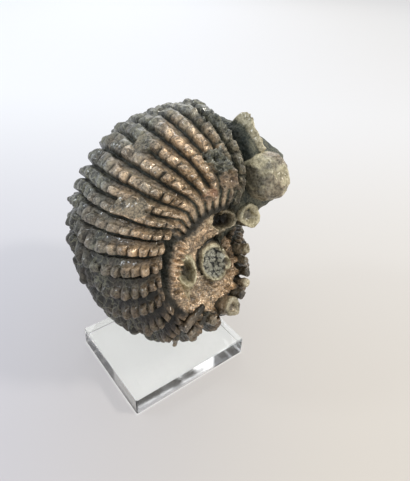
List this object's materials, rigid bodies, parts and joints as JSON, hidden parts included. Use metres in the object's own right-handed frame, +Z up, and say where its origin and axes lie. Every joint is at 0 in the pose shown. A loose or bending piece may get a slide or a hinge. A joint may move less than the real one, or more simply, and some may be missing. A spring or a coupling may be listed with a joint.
{
  "type": "ammonite fossil",
  "caption": "Coiled ammonite fossil with knobbed ribs and broken spines, leaning on a clear rectangular display block.",
  "frame": {"origin": "centre of the block's underside", "axes": "+Z up, +X along the block's long side, -Y towards the side that the fossil's near flank looks at"},
  "size_m": [0.0954, 0.0889, 0.1145],
  "materials": {
    "fossil_shell": "glossy brown shell with a pearly sheen over dull grey-green rock",
    "clear_acrylic": "clear, polished"
  },
  "bodies": {
    "root": {"ammonite": "fossil_shell", "acrylic_block": "clear_acrylic"}
  },
  "joints": []
}
